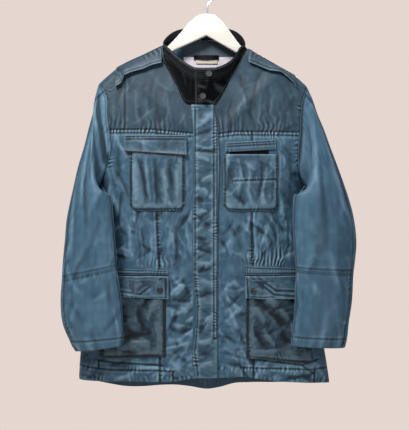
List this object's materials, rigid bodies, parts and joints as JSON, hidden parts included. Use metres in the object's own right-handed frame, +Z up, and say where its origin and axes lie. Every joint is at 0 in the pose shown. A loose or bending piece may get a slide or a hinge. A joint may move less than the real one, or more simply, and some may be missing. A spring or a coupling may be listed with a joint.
{
  "type": "military parka on a hanger",
  "caption": "Men's military parka of waxed cotton with a stand collar, chest and cargo pockets and a fly front, hanging closed on a flat wooden hanger.",
  "frame": {"origin": "inner top of the hanger's hook, where it hangs on a rail", "axes": "+Z up along the hook's stem, the jacket's front faces -Y, the wearer's right sleeve is on the -X side"},
  "size_m": [0.698, 0.1516, 0.9771],
  "materials": {
    "waxed_cotton": "waxed cotton, blue-grey, soft sheen, worn lighter along seams",
    "collar_cloth": "near-black brushed cloth",
    "facing_cloth": "plain blue-grey cotton",
    "lining_cloth": "smooth pale lining",
    "tape_cloth": "plain beige woven tape",
    "hanger_wood": "pale painted wood, satin",
    "hook_wire": "plain grey wire",
    "snap_metal": "dark lacquered snap caps"
  },
  "bodies": {
    "root": {"back_left": "waxed_cotton", "back_right": "waxed_cotton", "chest_flap_right": "waxed_cotton", "chest_pocket_left": "waxed_cotton", "chest_pocket_right": "waxed_cotton", "chest_welt_left": "waxed_cotton", "collar": "collar_cloth", "front_centre_left": "waxed_cotton", "front_centre_right": "waxed_cotton", "front_side_left": "waxed_cotton", "front_side_right": "waxed_cotton", "front_yoke_left": "waxed_cotton", "front_yoke_right": "waxed_cotton", "hanger_hook": "hook_wire", "hanger_wood": "hanger_wood", "hanging_loop": "collar_cloth", "lower_flap_left": "waxed_cotton", "lower_flap_right": "waxed_cotton", "lower_pocket_left": "waxed_cotton", "lower_pocket_right": "waxed_cotton", "neck_facing": "facing_cloth", "neck_lining": "lining_cloth", "neck_tape": "tape_cloth", "placket": "waxed_cotton", "shoulder_flap_left": "waxed_cotton", "shoulder_flap_right": "waxed_cotton", "sleeve_lower_back_left": "waxed_cotton", "sleeve_lower_back_right": "waxed_cotton", "sleeve_lower_front_left": "waxed_cotton", "sleeve_lower_front_right": "waxed_cotton", "sleeve_upper_back_left": "waxed_cotton", "sleeve_upper_back_right": "waxed_cotton", "sleeve_upper_front_left": "waxed_cotton", "sleeve_upper_front_right": "waxed_cotton", "snap_collar": "snap_metal", "snap_flap_left": "snap_metal", "snap_flap_right": "snap_metal", "snap_throat": "snap_metal", "waist_casing_left": "waxed_cotton", "waist_casing_right": "waxed_cotton"}
  },
  "joints": []
}
